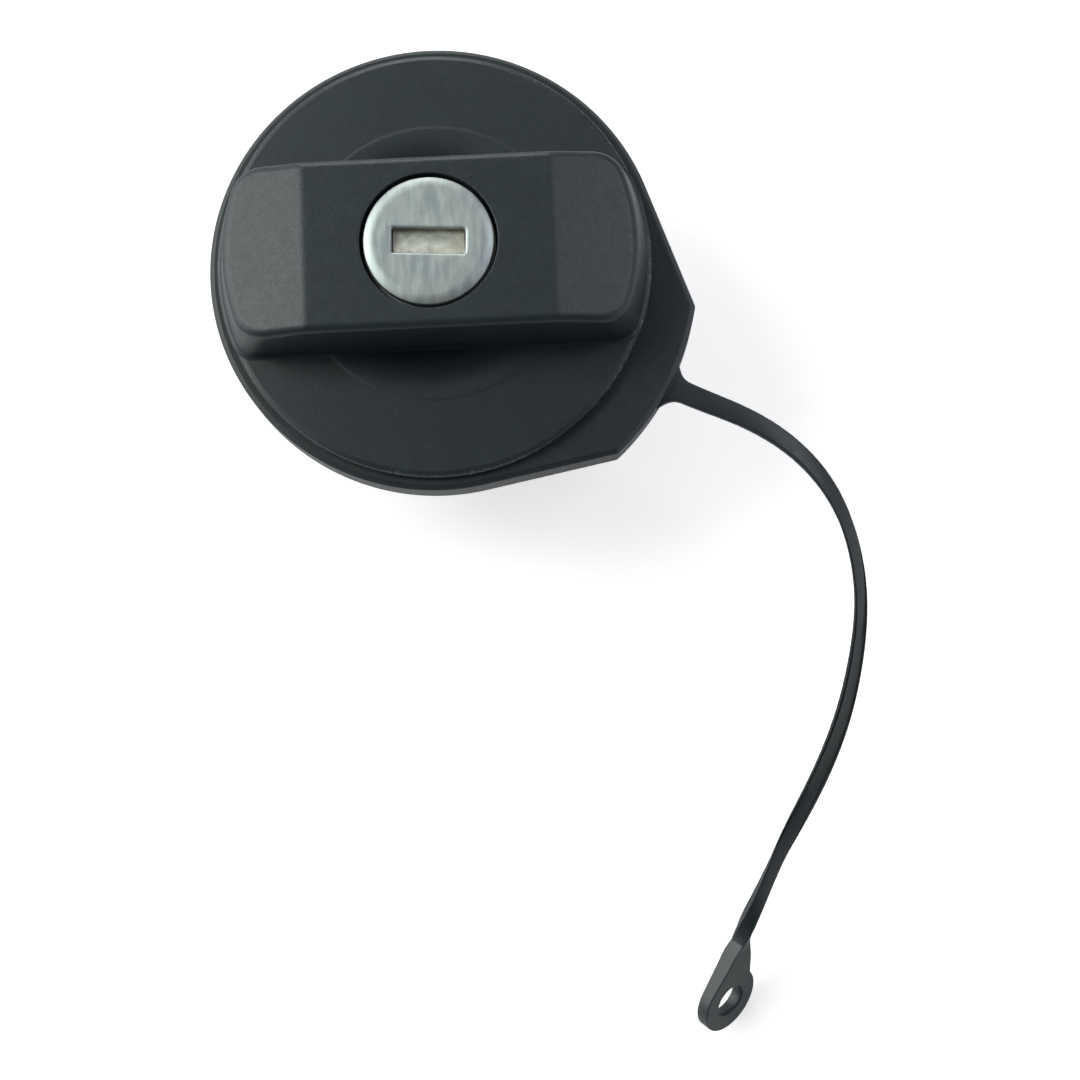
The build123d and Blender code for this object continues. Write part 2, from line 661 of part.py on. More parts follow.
def stem_body():
    """Tube, bayonet lugs, seal flange and the collar with its clutch notches."""
    body = turned([
        (TUBE_IN_R + 0.5, 0),
        (PILOT_R - 1.0, 0),
        (PILOT_R, 1.2),
        (PILOT_R, PILOT_TOP),
        (TUBE_R, PILOT_TOP + 0.8),
        (TUBE_R, 24.0),
        (RECESS_R, 25.0),
        (RECESS_R, SEAL_TOP),
        (FLANGE_R, SEAL_TOP),
        (FLANGE_R, FLANGE_TOP),
        (COLLAR_R, FLANGE_TOP),
        (COLLAR_R, COLLAR_TOP),
        (CORE_R + RUN_FIT, COLLAR_TOP),
        (CORE_R + RUN_FIT, SNAP_HIGH + 0.25),
        (SNAP_R + 0.3, SNAP_HIGH + 0.25),
        (SNAP_R + 0.3, SNAP_LOW - 0.25),
        (CORE_R + RUN_FIT, SNAP_LOW - 0.25),
        (CORE_R + RUN_FIT, DECK_TOP),
        (0, DECK_TOP),
        (0, DECK_BOTTOM),
        (TUBE_IN_R, DECK_BOTTOM),
        (TUBE_IN_R, 23.4),
        (TUBE_IN_R + 0.6, 23.4),
        (TUBE_IN_R + 0.6, 21.9),
        (TUBE_IN_R, 21.9),
        (TUBE_IN_R, 0.5),
    ])
    for k in range(NOTCH_COUNT):
        notch = block(-NOTCH_HALF_W, NOTCH_HALF_W, CORE_R - 1, NOTCH_R, BOLT_LOW - 0.2, COLLAR_TOP + 1)
        body -= Rot(0, 0, k * 360 / NOTCH_COUNT) * notch
    for direction in (0, 180):
        body += bayonet_lug(direction)
    for k in range(8):
        rib = block(TUBE_R - 0.5, 20.4, -0.8, 0.8, 17.5, 25.0)
        body += Rot(0, 0, 22.5 + k * 45) * rib
    return body


def seal_ring():
    """Rubber gasket under the flange, with a stepped outer edge."""
    bottom = SEAL_TOP - SEAL_H
    return turned([
        (RECESS_R + 0.05, SEAL_TOP - 0.02),
        (RECESS_R + 0.05, bottom),
        (SEAL_R - 1.2, bottom),
        (SEAL_R, bottom + 1.0),
        (SEAL_R, bottom + 1.6),
        (SEAL_R - 0.9, bottom + 2.0),
        (SEAL_R, bottom + 2.4),
        (SEAL_R, SEAL_TOP - 0.02),
    ])


# ---------------------------------------------------------------- valves
def valve_cage():
    """Cup in the stem's foot: vents, guide ribs, seat and a barb that snaps in."""
    groove_r = CAGE_R - 1.3
    cage = turned([
        (0, 0),
        (CAGE_R - 0.1, 0),
        (CAGE_R, 0.6),
        (CAGE_R, O_RING_LOW - 0.2),
        (groove_r, O_RING_LOW - 0.2),
        (groove_r, O_RING_HIGH + 0.2),
        (CAGE_R, O_RING_HIGH + 0.2),
        (CAGE_R, 21.95),
        (CAGE_R + 0.6, 22.1),
        (CAGE_R, 23.3),
        (CAGE_R, CAGE_TOP),
        (CAGE_IN_R, CAGE_TOP),
        (CAGE_IN_R - 0.2, CAGE_TOP - 0.5),
        (CAGE_IN_R, CAGE_TOP - 0.9),
        (CAGE_IN_R, SEAT_HIGH),
        (SEAT_R, SEAT_HIGH),
        (SEAT_R, SEAT_TOP),
        (SEAT_IN_R, SEAT_TOP),
        (SEAT_IN_R, SEAT_LOW),
        (CAGE_IN_R, SEAT_LOW),
        (CAGE_IN_R, CAGE_FLOOR),
        (0, CAGE_FLOOR),
    ])
    for k in range(VENT_COUNT):
        cage -= Rot(0, 0, k * 360 / VENT_COUNT) * rod(1.7, -1, CAGE_FLOOR + 1, 9.5, 0)
        rib = block(10.5, CAGE_IN_R + 0.2, -0.6, 0.6, SEAT_HIGH - 0.5, CAP_LOW - 0.05)
        cage += Rot(0, 0, (k + 0.5) * 360 / VENT_COUNT) * rib
    return cage


def valve_o_ring():
    """O-ring squeezed between the cage's groove and the tube."""
    inner = CAGE_R - 1.28
    outer = TUBE_IN_R - 0.02
    round_z = 0.5
    return turned([
        (inner, O_RING_LOW + round_z),
        (inner + 0.38, O_RING_LOW),
        (outer - 0.38, O_RING_LOW),
        (outer, O_RING_LOW + round_z),
        (outer, O_RING_HIGH - round_z),
        (outer - 0.38, O_RING_HIGH),
        (inner + 0.38, O_RING_HIGH),
        (inner, O_RING_HIGH - round_z),
    ])


def pressure_plate():
    """Valve plate with a centre guide and breathing holes."""
    bore = POPPET_STEM_R + 0.06
    plate = tube(10.35, bore, PLATE_LOW, PLATE_HIGH) + tube(2.4, bore, PLATE_HIGH - 0.1, PLATE_GUIDE_TOP)
    for k in range(VENT_COUNT):
        plate -= Rot(0, 0, k * 360 / VENT_COUNT) * rod(0.55, PLATE_LOW - 1, PLATE_HIGH + 1, 3.0, 0)
    return plate


def pressure_seal():
    """Flat rubber ring under the pressure plate."""
    return tube(9.6, 3.7, SEAT_TOP + 0.02, PLATE_LOW - 0.02)


def vacuum_poppet():
    """Inner valve: a lipped disc under the seal on a long stem."""
    return turned([
        (0, 8.2),
        (4.8, 8.2),
        (5.2, 8.6),
        (5.2, SEAT_TOP),
        (4.4, SEAT_TOP),
        (4.4, SEAT_TOP - 0.5),
        (POPPET_STEM_R, SEAT_TOP - 0.5),
        (POPPET_STEM_R, 19.4),
        (1.2, 19.6),
        (0, 19.6),
    ])


def poppet_nut():
    """Push-on washer that holds the vacuum spring on the poppet's stem."""
    return tube(4.0, POPPET_STEM_R, 18.3, 19.0)


def spring_cap():
    """Ring that the pressure spring pushes against, snapped into the cage."""
    cap = tube(CAGE_IN_R - 0.05, 5.0, CAP_LOW, CAP_LOW + 1.5)
    cap += tube(7.6, 5.0, CAP_LOW - 1.1, CAP_LOW + 0.1)
    for k in range(4):
        cap -= Rot(0, 0, 45 + k * 90) * rod(1.6, CAP_LOW - 0.6, CAP_LOW + 1.9, 11.0, 0)
    return cap


# ---------------------------------------------------------------- the nodes
def main():
    """Build and write every node."""
    export("handle_cover", handle_cover() - lock_bore())
    export("head_carrier", head_carrier())
    export("handle_screws", handle_screws())
    export("housing_screws", housing_screws())
    export("snap_ring", snap_ring())
    export("lock_housing", lock_housing())
    export("lock_rotor", lock_rotor())
    export("lock_face", lock_face())
    for i in range(WAFER_COUNT):
        export(f"wafer_{i + 1}", wafer(i))
    export("wafer_spring", wafer_spring())
    export("dust_shutter", dust_shutter())
    export("shutter_pin", shutter_pin())
    export("shutter_spring", shutter_spring())
    export("scroll_cam", scroll_cam())
    export("cam_screw", cam_screw())
    export("lock_bolt_rear", lock_bolt())
    export("lock_bolt_front", Rot(0, 0, 180) * lock_bolt())
    ring = tether_ring()
    export("tether_ring", ring)
    export("tether_strap", tether_strap(ring))
    export("stem_body", stem_body())
    export("seal_ring", seal_ring())
    export("valve_cage", valve_cage())
    export("valve_o_ring", valve_o_ring())
    export("pressure_plate", pressure_plate())
    export("pressure_seal", pressure_seal())
    export("pressure_spring", coil(8.7, 0.9, SPRING_SEAT, CAP_LOW - 0.05, 3))
    export("spring_cap", spring_cap())
    export("vacuum_poppet", vacuum_poppet())
    export("vacuum_spring", coil(3.1, 0.4, SPRING_SEAT, 18.25, 3))
    export("poppet_nut", poppet_nut())


main()
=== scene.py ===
"""Locking fuel filler cap: camera, light, the moulded and pressed skins, and every finish.

The frame is the model's own: metres, +Z up the stem, +X along the grip bar.
"""
import json
from math import acos, atan2, cos, pi, radians, sin, sqrt

import bmesh
import bpy
import numpy as np
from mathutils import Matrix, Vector


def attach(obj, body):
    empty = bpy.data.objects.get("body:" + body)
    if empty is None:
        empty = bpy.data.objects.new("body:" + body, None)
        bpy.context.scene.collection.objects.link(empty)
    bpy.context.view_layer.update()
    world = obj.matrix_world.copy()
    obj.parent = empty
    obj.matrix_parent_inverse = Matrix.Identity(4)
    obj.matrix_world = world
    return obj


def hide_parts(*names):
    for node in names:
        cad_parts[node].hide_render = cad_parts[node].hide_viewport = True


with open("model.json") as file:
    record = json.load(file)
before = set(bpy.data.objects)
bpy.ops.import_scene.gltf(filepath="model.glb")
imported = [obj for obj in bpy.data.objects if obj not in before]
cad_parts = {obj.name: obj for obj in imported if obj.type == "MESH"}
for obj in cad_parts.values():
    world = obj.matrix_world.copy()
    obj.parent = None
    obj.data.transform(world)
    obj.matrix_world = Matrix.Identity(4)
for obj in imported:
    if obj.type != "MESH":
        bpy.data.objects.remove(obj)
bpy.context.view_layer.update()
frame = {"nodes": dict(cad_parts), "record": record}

MM = 0.001
nodes = frame["nodes"]

# Heights and radii of the head, in millimetres
disc_z = 42.0
disc_r = 39.1
bar_h = 14.0
face_r = 11.35
face_gap = 0.66
face_top = disc_z + bar_h + 0.25
plate_top = disc_z - 2.2


# ------------------------------------------------------------------ finishes
class Finish:
    """A named material with its Principled shader and short ways to add its pattern nodes."""

    def __init__(self, name, base, roughness, metallic=0.0, specular=0.5):
        self.material = bpy.data.materials.new(name)
        self.material.use_nodes = True
        self.tree = self.material.node_tree
        self.shader = self.tree.nodes["Principled BSDF"]
        self.shader.inputs["Base Color"].default_value = (*base, 1.0)
        self.shader.inputs["Roughness"].default_value = roughness
        self.shader.inputs["Metallic"].default_value = metallic
        self.shader.inputs["Specular IOR Level"].default_value = specular
        self.coords = self.node("ShaderNodeTexCoord").outputs["Object"]

    def node(self, kind, **settings):
        """A new node of the tree, with its settings."""
        made = self.tree.nodes.new(kind)
        for key, value in settings.items():
            setattr(made, key, value)
        return made

    def link(self, source, target):
        self.tree.links.new(source, target)

    def stretched(self, scale, turn=(0, 0, 0), offset=(0, 0, 0)):
        """Object coordinates, scaled along each axis, turned and moved."""
        mapping = self.node("ShaderNodeMapping")
        mapping.inputs["Scale"].default_value = scale
        mapping.inputs["Rotation"].default_value = turn
        mapping.inputs["Location"].default_value = offset
        self.link(self.coords, mapping.inputs["Vector"])
        return mapping.outputs["Vector"]

    def noise(self, scale, detail=3.0, roughness=0.5, vector=None):
        texture = self.node("ShaderNodeTexNoise")
        texture.inputs["Scale"].default_value = scale
        texture.inputs["Detail"].default_value = detail
        texture.inputs["Roughness"].default_value = roughness
        self.link(vector if vector is not None else self.coords, texture.inputs["Vector"])
        return texture.outputs["Fac"]

    def cells(self, scale, vector=None, feature="F1"):
        texture = self.node("ShaderNodeTexVoronoi", feature=feature)
        texture.inputs["Scale"].default_value = scale
        self.link(vector if vector is not None else self.coords, texture.inputs["Vector"])
        return texture.outputs["Distance"]

    def spread(self, value, low, high, to_low=0.0, to_high=1.0):
        """Carries a value's range low..high to another range, clamped."""
        remap = self.node("ShaderNodeMapRange")
        self.link(value, remap.inputs["Value"])
        for key, number in zip(("From Min", "From Max", "To Min", "To Max"), (low, high, to_low, to_high)):
            remap.inputs[key].default_value = number
        return remap.outputs["Result"]

    def math(self, operation, first, second):
        made = self.node("ShaderNodeMath", operation=operation)
        for socket, value in zip(made.inputs, (first, second)):
            if isinstance(value, (int, float)):
                socket.default_value = value
            else:
                self.link(value, socket)
        return made.outputs[0]

    def ramp(self, value, stops):
        """Colour ramp of a value, from (place, colour) stops."""
        ramp = self.node("ShaderNodeValToRGB")
        while len(ramp.color_ramp.elements) < len(stops):
            ramp.color_ramp.elements.new(0.5)
        for element, (place, colour) in zip(ramp.color_ramp.elements, stops):
            element.position = place
            element.color = (*colour, 1.0)
        self.link(value, ramp.inputs["Fac"])
        return ramp.outputs["Color"]

    def colour(self, source):
        self.link(source, self.shader.inputs["Base Color"])

    def mixed(self, factor, first, second):
        """Mixes a colour towards another by a factor; each is a socket or plain numbers."""
        mix = self.node("ShaderNodeMix", data_type="RGBA")
        self.link(factor, mix.inputs["Factor"])
        for socket, value in zip((mix.inputs[6], mix.inputs[7]), (first, second)):
            if isinstance(value, tuple):
                socket.default_value = (*value, 1.0)
            else:
                self.link(value, socket)
        return mix.outputs[2]

    def rough(self, value):
        self.link(value, self.shader.inputs["Roughness"])

    def bumps(self, *layers):
        """Chain of bump layers, each (height, depth in metres, strength)."""
        last = None
        for height, depth, strength in layers:
            bump = self.node("ShaderNodeBump")
            bump.inputs["Distance"].default_value = depth
            bump.inputs["Strength"].default_value = strength
            self.link(height, bump.inputs["Height"])
            if last is not None:
                self.link(last, bump.inputs["Normal"])
            last = bump.outputs["Normal"]
        self.link(last, self.shader.inputs["Normal"])

    def ring_mark(self, radius, width):
        """1 on an upright cylinder about the axis, fading to 0 a width away from it, in metres."""
        split = self.node("ShaderNodeSeparateXYZ")
        self.link(self.coords, split.inputs[0])
        across = self.math("POWER", split.outputs["X"], 2.0)
        along = self.math("POWER", split.outputs["Y"], 2.0)
        away = self.math("SQRT", self.math("ADD", across, along), 0.0)
        off = self.math("ABSOLUTE", self.math("SUBTRACT", away, radius), 0.0)
        return self.spread(off, 0.0, width, 1.0, 0.0)

    def disc_mark(self, x, y, radius, edge):
        """1 inside an upright round mark at x, y and 0 outside it, all in metres."""
        split = self.node("ShaderNodeSeparateXYZ")
        self.link(self.coords, split.inputs[0])
        across = self.math("POWER", self.math("SUBTRACT", split.outputs["X"], x), 2.0)
        along = self.math("POWER", self.math("SUBTRACT", split.outputs["Y"], y), 2.0)
        away = self.math("SQRT", self.math("ADD", across, along), 0.0)
        return self.spread(away, radius - edge, radius, 1.0, 0.0)


def moulded_plastic(name, dark, light, roughness, grain=1.0, mark=None, rims=()):
    """Spark-eroded moulding grain, faint flow mottling, fine dust specks and scuffed rims.

    The mark is the ejector pin's round witness, and each rim is a radius whose edge is scuffed.
    """
    finish = Finish(name, dark, roughness)
    mottle = finish.noise(210.0, 6.0, 0.7)
    body = finish.ramp(finish.spread(mottle, 0.33, 0.67), [(0.0, dark), (1.0, light)])
    specks = finish.spread(finish.cells(620.0), 0.05, 0.09, 1.0, 0.0)
    sparse = finish.spread(finish.noise(90.0, 2.0), 0.52, 0.60)
    dust = finish.math("MULTIPLY", specks, finish.math("MULTIPLY", sparse, 0.35))
    body = finish.mixed(dust, body, (0.16, 0.17, 0.17))
    grains = finish.noise(2600.0, 2.0, 0.65)
    broad = finish.noise(900.0, 4.0, 0.6)
    scratch = finish.spread(finish.noise(1700.0, 3.0, 0.7), 0.52, 0.66)
    patches = finish.spread(finish.noise(130.0, 2.0), 0.40, 0.60)
    for radius, width, depth in rims:
        rim = finish.ring_mark(radius, width)
        scuffed = finish.math("MULTIPLY", scratch, patches)
        worn = finish.math("MULTIPLY", scuffed, finish.math("MULTIPLY", rim, depth))
        body = finish.mixed(worn, body, (0.15, 0.16, 0.155))
    layers = [(grains, 0.00006, 0.55 * grain), (broad, 0.00005, 0.22 * grain)]
    if mark is not None:
        pin = finish.disc_mark(*mark)
        body = finish.mixed(finish.math("MULTIPLY", pin, 0.45), body, (0.006, 0.010, 0.009))
        layers.append((pin, 0.00005, 0.5))
    finish.colour(body)
    finish.rough(finish.spread(broad, 0.3, 0.7, roughness - 0.03, roughness + 0.04))
    finish.bumps(*layers)
    return finish.material


def brushed_face(name):
    """Satin steel brushed across the grip, with rubbed streaks and faint scratches from keys."""
    finish = Finish(name, (0.42, 0.46, 0.45), 0.50, metallic=1.0)
    fine = finish.noise(1.0, 3.0, 0.6, finish.stretched((5200.0, 300.0, 800.0)))
    streak = finish.noise(1.0, 3.0, 0.6, finish.stretched((900.0, 190.0, 300.0)))
    cloud = finish.noise(150.0, 3.0, 0.55)
    rubbed = finish.math("MULTIPLY", finish.spread(streak, 0.44, 0.72), 0.55)
    body = finish.ramp(finish.spread(cloud, 0.35, 0.65),
                       [(0.0, (0.355, 0.405, 0.405)), (1.0, (0.450, 0.490, 0.465))])
    body = finish.mixed(rubbed, body, (0.56, 0.61, 0.58))
    dull = finish.spread(fine, 0.25, 0.75, 0.0, 0.16)
    finish.colour(finish.mixed(dull, body, (0.24, 0.27, 0.27)))
    finish.rough(finish.spread(streak, 0.3, 0.7, 0.46, 0.56))
    finish.bumps((fine, 0.00001, 0.35), (streak, 0.00003, 0.25))
    return finish.material


def plain_metal(name, dark, light, roughness, scale=900.0):
    """Plated or cast metal with a fine uneven surface."""
    finish = Finish(name, light, roughness, metallic=1.0)
    patch = finish.noise(scale, 3.0, 0.55)
    finish.colour(finish.ramp(finish.spread(patch, 0.3, 0.7), [(0.0, dark), (1.0, light)]))
    finish.rough(finish.spread(patch, 0.3, 0.7, roughness - 0.05, roughness + 0.08))
    finish.bumps((patch, 0.00002, 0.4),)
    return finish.material


def smooth_rubber(name):
    """Black gasket rubber with a faint bloom."""
    finish = Finish(name, (0.012, 0.012, 0.013), 0.62, specular=0.4)
    bloom = finish.noise(260.0, 4.0, 0.6)
    finish.colour(finish.ramp(finish.spread(bloom, 0.3, 0.75), [(0.0, (0.010,) * 3), (1.0, (0.022,) * 3)]))
    finish.rough(finish.spread(bloom, 0.3, 0.7, 0.52, 0.7))
    finish.bumps((finish.noise(2400.0, 2.0), 0.00003, 0.3),)
    return finish.material


def shutter_plastic(name):
    """Cream plastic of the dust shutter, pebbled, stained and rubbed grey by keys."""
    finish = Finish(name, (0.52, 0.53, 0.44), 0.5)
    pebble = finish.cells(620.0, feature="SMOOTH_F1")
    worn = finish.noise(330.0, 4.0, 0.65)
    stain = finish.spread(finish.noise(230.0, 2.0, 0.5), 0.50, 0.66)
    body = finish.ramp(finish.spread(worn, 0.35, 0.65),
                       [(0.0, (0.27, 0.285, 0.235)), (1.0, (0.56, 0.58, 0.51))])
    body = finish.mixed(finish.math("MULTIPLY", stain, 0.5), body, (0.40, 0.35, 0.27))
    finish.colour(body)
    finish.rough(finish.spread(worn, 0.3, 0.7, 0.4, 0.58))
    finish.bumps((pebble, 0.0004, 0.5), (worn, 0.00015, 0.5))
    return finish.material


finishes = {
    "slate_plastic": moulded_plastic(
        "slate_plastic", (0.0115, 0.0185, 0.0215), (0.0150, 0.0230, 0.0265), 0.41,
        rims=((0.03895, 0.0005, 0.8), (0.0386, 0.0009, 0.25))),
    "soft_plastic": moulded_plastic(
        "soft_plastic", (0.0125, 0.0185, 0.0210), (0.0160, 0.0240, 0.0270), 0.40, 0.7,
        (0.0374, -0.0248, 0.0010, 0.0004)),
    "black_plastic": moulded_plastic("black_plastic", (0.012, 0.012, 0.013), (0.018, 0.018, 0.019), 0.45, 0.8),
    "white_plastic": moulded_plastic("white_plastic", (0.60, 0.60, 0.55), (0.68, 0.68, 0.63), 0.40, 0.4),
    "cream_plastic": shutter_plastic("cream_plastic"),
    "seal_rubber": smooth_rubber("seal_rubber"),
    "die_cast": plain_metal("die_cast", (0.30, 0.30, 0.31), (0.42, 0.42, 0.43), 0.45),
    "steel_face": brushed_face("steel_face"),
    "steel": plain_metal("steel", (0.46, 0.46, 0.47), (0.58, 0.58, 0.58), 0.3),
    "brass": plain_metal("brass", (0.52, 0.36, 0.14), (0.70, 0.52, 0.22), 0.3),
}

for entry in frame["record"]["subparts"]:
    node = nodes[entry["node"]]
    node.data.materials.clear()
    node.data.materials.append(finishes[entry["material_slot"]])


# ------------------------------------------------------------------ surfaces from arrays
def skin(name, sheets, slot, body, replaced):
    """One object from closed grids of points (rows, columns, xyz) in millimetres.

    Every grid's columns close on themselves, and its last row joins its first, so that each
    is a closed tube of quads; a pole is a row whose points all meet.
    """
    points = []
    faces = []
    first = 0
    for grid in sheets:
        rows, columns, _ = grid.shape
        here = first + np.arange(rows * columns).reshape(rows, columns)
        right = np.roll(here, -1, axis=1)
        below = np.roll(here, -1, axis=0)
        corner = np.roll(right, -1, axis=0)
        faces.append(np.stack([here, right, corner, below], axis=-1).reshape(-1, 4))
        points.append(grid.reshape(-1, 3) * MM)
        first += rows * columns
    mesh = bpy.data.meshes.new(name)
    mesh.from_pydata(np.concatenate(points).tolist(), [], np.concatenate(faces).tolist())
    solid = bmesh.new()
    solid.from_mesh(mesh)
    bmesh.ops.remove_doubles(solid, verts=solid.verts, dist=1e-7)
    bmesh.ops.recalc_face_normals(solid, faces=solid.faces)
    solid.to_mesh(mesh)
    solid.free()
    mesh.shade_smooth()
    mesh.materials.append(finishes[slot])
    made = bpy.data.objects.new(name, mesh)
    bpy.context.scene.collection.objects.link(made)
    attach(made, body)
    if replaced:
        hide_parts(*replaced)
    return made


def steps(low, high, count):
    return np.linspace(low, high, count)


def quarter(count):
    """Angles of a quarter turn as a column, for a rounding's rows."""
    return steps(0.0, pi / 2, count)[:, None]


def mirrored(x, y, nx, ny):
    """Closes a quarter outline, from the X axis to the Y axis, into all four quarters."""
    flip = slice(-2, 0, -1)
    half_x = np.concatenate([x, -x[-2::-1]])
    half_y = np.concatenate([y, y[-2::-1]])
    half_nx = np.concatenate([nx, -nx[-2::-1]])
    half_ny = np.concatenate([ny, ny[-2::-1]])
    outline = np.stack([np.concatenate([half_x, half_x[flip]]),
                        np.concatenate([half_y, -half_y[flip]])], axis=-1)
    normal = np.stack([np.concatenate([half_nx, half_nx[flip]]),
                       np.concatenate([half_ny, -half_ny[flip]])], axis=-1)
    return outline, normal


def bar_outline(half_w, end_r, corner_r):
    """Plan of the grip bar with its outward normals, columns round the bar.

    End arcs of radius end_r about the axis, straight sides at half_w, and corner arcs of
    radius corner_r that touch both: their centres lie at end_r - corner_r from the axis.
    """
    cy = half_w - corner_r
    cx = sqrt((end_r - corner_r) ** 2 - cy ** 2)
    start = atan2(cy, cx)
    end = steps(0.0, start, 26)
    corner = steps(start, pi / 2, 26)[1:]
    side = steps(cx, 0.0, 70)[1:]
    x = np.concatenate([end_r * np.cos(end), cx + corner_r * np.cos(corner), side])
    y = np.concatenate([end_r * np.sin(end), cy + corner_r * np.sin(corner), np.full(side.size, half_w)])
    nx = np.concatenate([np.cos(end), np.cos(corner), np.zeros(side.size)])
    ny = np.concatenate([np.sin(end), np.sin(corner), np.ones(side.size)])
    return mirrored(x, y, nx, ny)


def bar_top(x):
    """Height of the bar's top: level in the middle, then straight falls joined by a short arc."""
    flat, fall, blend = 21.7, 3.0 / (35.7 - 21.7), 0.5
    beyond = np.abs(x) - flat
    arc = fall * (beyond + blend) ** 2 / (4 * blend)
    return disc_z + bar_h - np.where(beyond < -blend, 0.0, np.where(beyond < blend, arc, fall * beyond))


def stacked(plan, height):
    """Rows of plan points (rows, columns, 2) and their heights as one grid of points."""
    return np.concatenate([plan, np.broadcast_to(height, plan.shape[:2])[..., None]], axis=-1)


def grip_skin():
    """The bar as rows of its outline, from the flared foot up the leaning wall, over the rounded
    rim, across the faceted top to the lock's bore, down the bore, and back under the shell."""
    foot, foot_normal = bar_outline(16.0, 38.5, 4.2)
    head, normal = bar_outline(15.25, 35.7, 6.2)
    rim, flare, lip, wall = 1.5, 0.7, 0.14, 2.2

    def lean(rise):
        """Plan of the leaning wall at a rise above the disc."""
        return foot + (head - foot) * (rise / bar_h)[..., None]

    low = np.full((1, foot.shape[0]), -1.4)
    turn = quarter(6)
    foot_rise = flare * (1 - np.cos(turn)) * np.ones(foot.shape[0])
    foot_plan = lean(foot_rise) + foot_normal * (flare * (1 - np.sin(turn)))[..., None]
    rim_rise = bar_top(head[:, 0]) - disc_z - rim
    share = steps(0.0, 1.0, 9)[1:, None]
    wall_rise = flare + (rim_rise - flare) * share
    turn = quarter(9)[1:]
    wall_top = lean(np.broadcast_to(rim_rise, (8, rim_rise.size)))
    rim_plan = wall_top - normal * (rim * (1 - np.cos(turn)))[..., None]
    rim_z = bar_top(rim_plan[..., 0]) - rim * (1 - np.sin(turn))
    edge = rim_plan[-1]
    direction = edge / np.linalg.norm(edge, axis=1, keepdims=True)
    bore_r = face_r + face_gap
    share = np.concatenate([[0.02], steps(0.04, 0.985, 66), [1.0]])[:, None, None]
    top_plan = edge * (1 - share) + direction * (bore_r + lip) * share
    turn = quarter(5)[1:]
    lip_plan = direction * (bore_r + lip * (1 - np.sin(turn)))[..., None]
    lip_z = bar_top(lip_plan[..., 0]) - lip * (1 - np.cos(turn))
    inside = []
    for radius, z in ((bore_r, 55.3), (bore_r, 53.7), (11.6, 53.65), (11.6, 44.3), (12.6, 44.3), (12.6, 53.2)):
        inside.append(stacked((direction * radius)[None], z))
    within = lean(np.full((1, foot.shape[0]), 10.0)) - normal * wall
    ceiling = bar_top(within[..., 0]) - wall
    inside.append(stacked(within, ceiling))
    skirt = lean(low) - foot_normal * wall
    inside.append(stacked(skirt, disc_z + low))
    return np.concatenate([
        stacked(lean(low) + foot_normal * 0.2, disc_z + low),
        stacked(foot_plan, disc_z + foot_rise),
        stacked(lean(wall_rise), disc_z + wall_rise),
        stacked(rim_plan, rim_z),
        stacked(top_plan, bar_top(top_plan[..., 0])),
        stacked(lip_plan, lip_z),
        *inside,
    ])


def lathe(profile, columns=240):
    """Closed (radius, height) profile turned about the axis: x, y = r cos a, r sin a."""
    profile = np.asarray(profile, float)
    angle = steps(0.0, 2 * pi, columns + 1)[:-1]
    r = profile[:, :1]
    height = np.broadcast_to(profile[:, 1:], (len(profile), columns))
    grid = np.stack([r * np.cos(angle), r * np.sin(angle), height])
    return np.moveaxis(grid, 0, -1)


def rounded(profile, radii, count=6):
    """Closed polygon with each corner replaced by a curve of the given radius.

    Each corner becomes a quadratic arc between two points on its sides, at the radius times
    the tangent of half the turn from the corner, and a radius of zero leaves the point alone.
    """
    corner = np.asarray(profile, float)
    before = np.roll(corner, 1, axis=0) - corner
    after = np.roll(corner, -1, axis=0) - corner
    length_before = np.linalg.norm(before, axis=1, keepdims=True)
    length_after = np.linalg.norm(after, axis=1, keepdims=True)
    cosine = np.sum(before * after, axis=1, keepdims=True) / (length_before * length_after)
    turn = pi - np.arccos(np.clip(cosine, -1, 1))
    longest = 0.45 * np.minimum(length_before, length_after)
    reach = np.minimum(np.asarray(radii, float)[:, None] * np.tan(turn / 2), longest)
    start = corner + before / length_before * reach
    end = corner + after / length_after * reach
    t = steps(0.0, 1.0, count)[None, :, None]
    arcs = (1 - t) ** 2 * start[:, None] + 2 * t * (1 - t) * corner[:, None] + t ** 2 * end[:, None]
    return arcs.reshape(-1, 2)


def disc_skin():
    """The disc: a rounded edge, a barely domed top and a fine step round the middle."""
    step_z = disc_z + 0.15
    profile = [
        (14.6, step_z + 0.1),
        (24.9, step_z + 0.1),
        (25.5, step_z),
        (30.0, disc_z + 0.1),
        (disc_r - 1.0, disc_z),
        (disc_r - 0.25, disc_z - 0.32),
        (disc_r, disc_z - 0.95),
        (disc_r, disc_z - 1.75),
        (14.6, disc_z - 1.75),
    ]
    return lathe(rounded(profile, [0, 0.12, 0.1, 0, 0.6, 0.5, 0.5, 0.2, 0]), 360)


skin("handle_cover_skin", [grip_skin(), disc_skin()], "slate_plastic", "head", ["handle_cover"])


